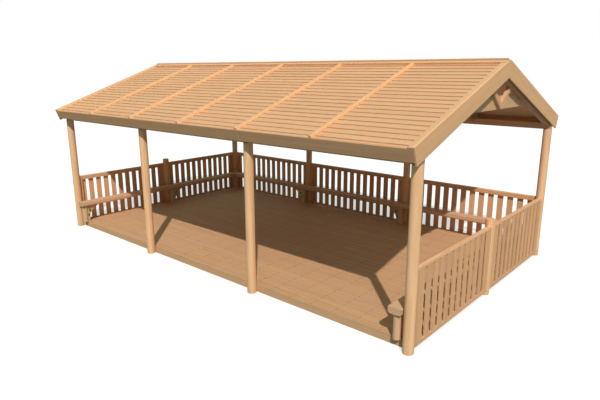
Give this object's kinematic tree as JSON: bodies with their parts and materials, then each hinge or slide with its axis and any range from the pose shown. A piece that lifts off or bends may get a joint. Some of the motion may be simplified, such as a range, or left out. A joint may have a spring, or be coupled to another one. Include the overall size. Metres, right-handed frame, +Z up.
{
  "type": "apex roof shelter",
  "caption": "Open timber shelter on round posts with a boarded apex roof, slatted sides with handrails, a bench round three sides and a boarded deck.",
  "frame": {"origin": "middle of the shelter's plan at ground level, where the posts stand", "axes": "+X along the ridge, -Y towards the open long side, +Z up"},
  "size_m": [8.574, 5.228, 3.5777],
  "materials": {
    "posts": "smooth round timber, pale brown",
    "frame_timber": "planed timber",
    "roof_boards": "planed lapped boards",
    "roof_trim": "planed timber",
    "barge_boards": "planed timber",
    "deck": "sawn boards",
    "panels": "planed slats",
    "handrails": "planed timber",
    "bench": "planed planks with rounded lower edges on round legs",
    "bolt_caps": "moulded green caps over the bench bolts",
    "fixings": "screw and nail heads"
  },
  "bodies": {
    "root": {"front_post_1": "posts", "front_post_2": "posts", "front_post_3": "posts", "front_post_4": "posts", "back_post_1": "posts", "back_post_2": "posts", "back_post_3": "posts", "back_post_4": "posts", "left_dwarf_post": "posts", "right_dwarf_post": "posts", "front_eaves_beam": "frame_timber", "back_eaves_beam": "frame_timber", "front_rafters": "frame_timber", "back_rafters": "frame_timber", "collar_ties": "frame_timber", "front_struts": "frame_timber", "back_struts": "frame_timber", "front_roof_boards": "roof_boards", "back_roof_boards": "roof_boards", "front_roof_battens": "roof_trim", "back_roof_battens": "roof_trim", "front_ridge_cap": "roof_trim", "back_ridge_cap": "roof_trim", "front_left_barge": "barge_boards", "front_right_barge": "barge_boards", "back_left_barge": "barge_boards", "back_right_barge": "barge_boards", "front_fascia": "barge_boards", "back_fascia": "barge_boards", "deck_boards": "deck", "deck_joists": "deck", "deck_front_edge": "deck", "back_panel_1": "panels", "back_panel_2": "panels", "back_panel_3": "panels", "left_panel_front": "panels", "left_panel_back": "panels", "right_panel_front": "panels", "right_panel_back": "panels", "handrails": "handrails", "left_seat": "bench", "back_seat": "bench", "right_seat": "bench", "bench_legs": "bench", "bench_brackets": "bench"}
  },
  "joints": []
}
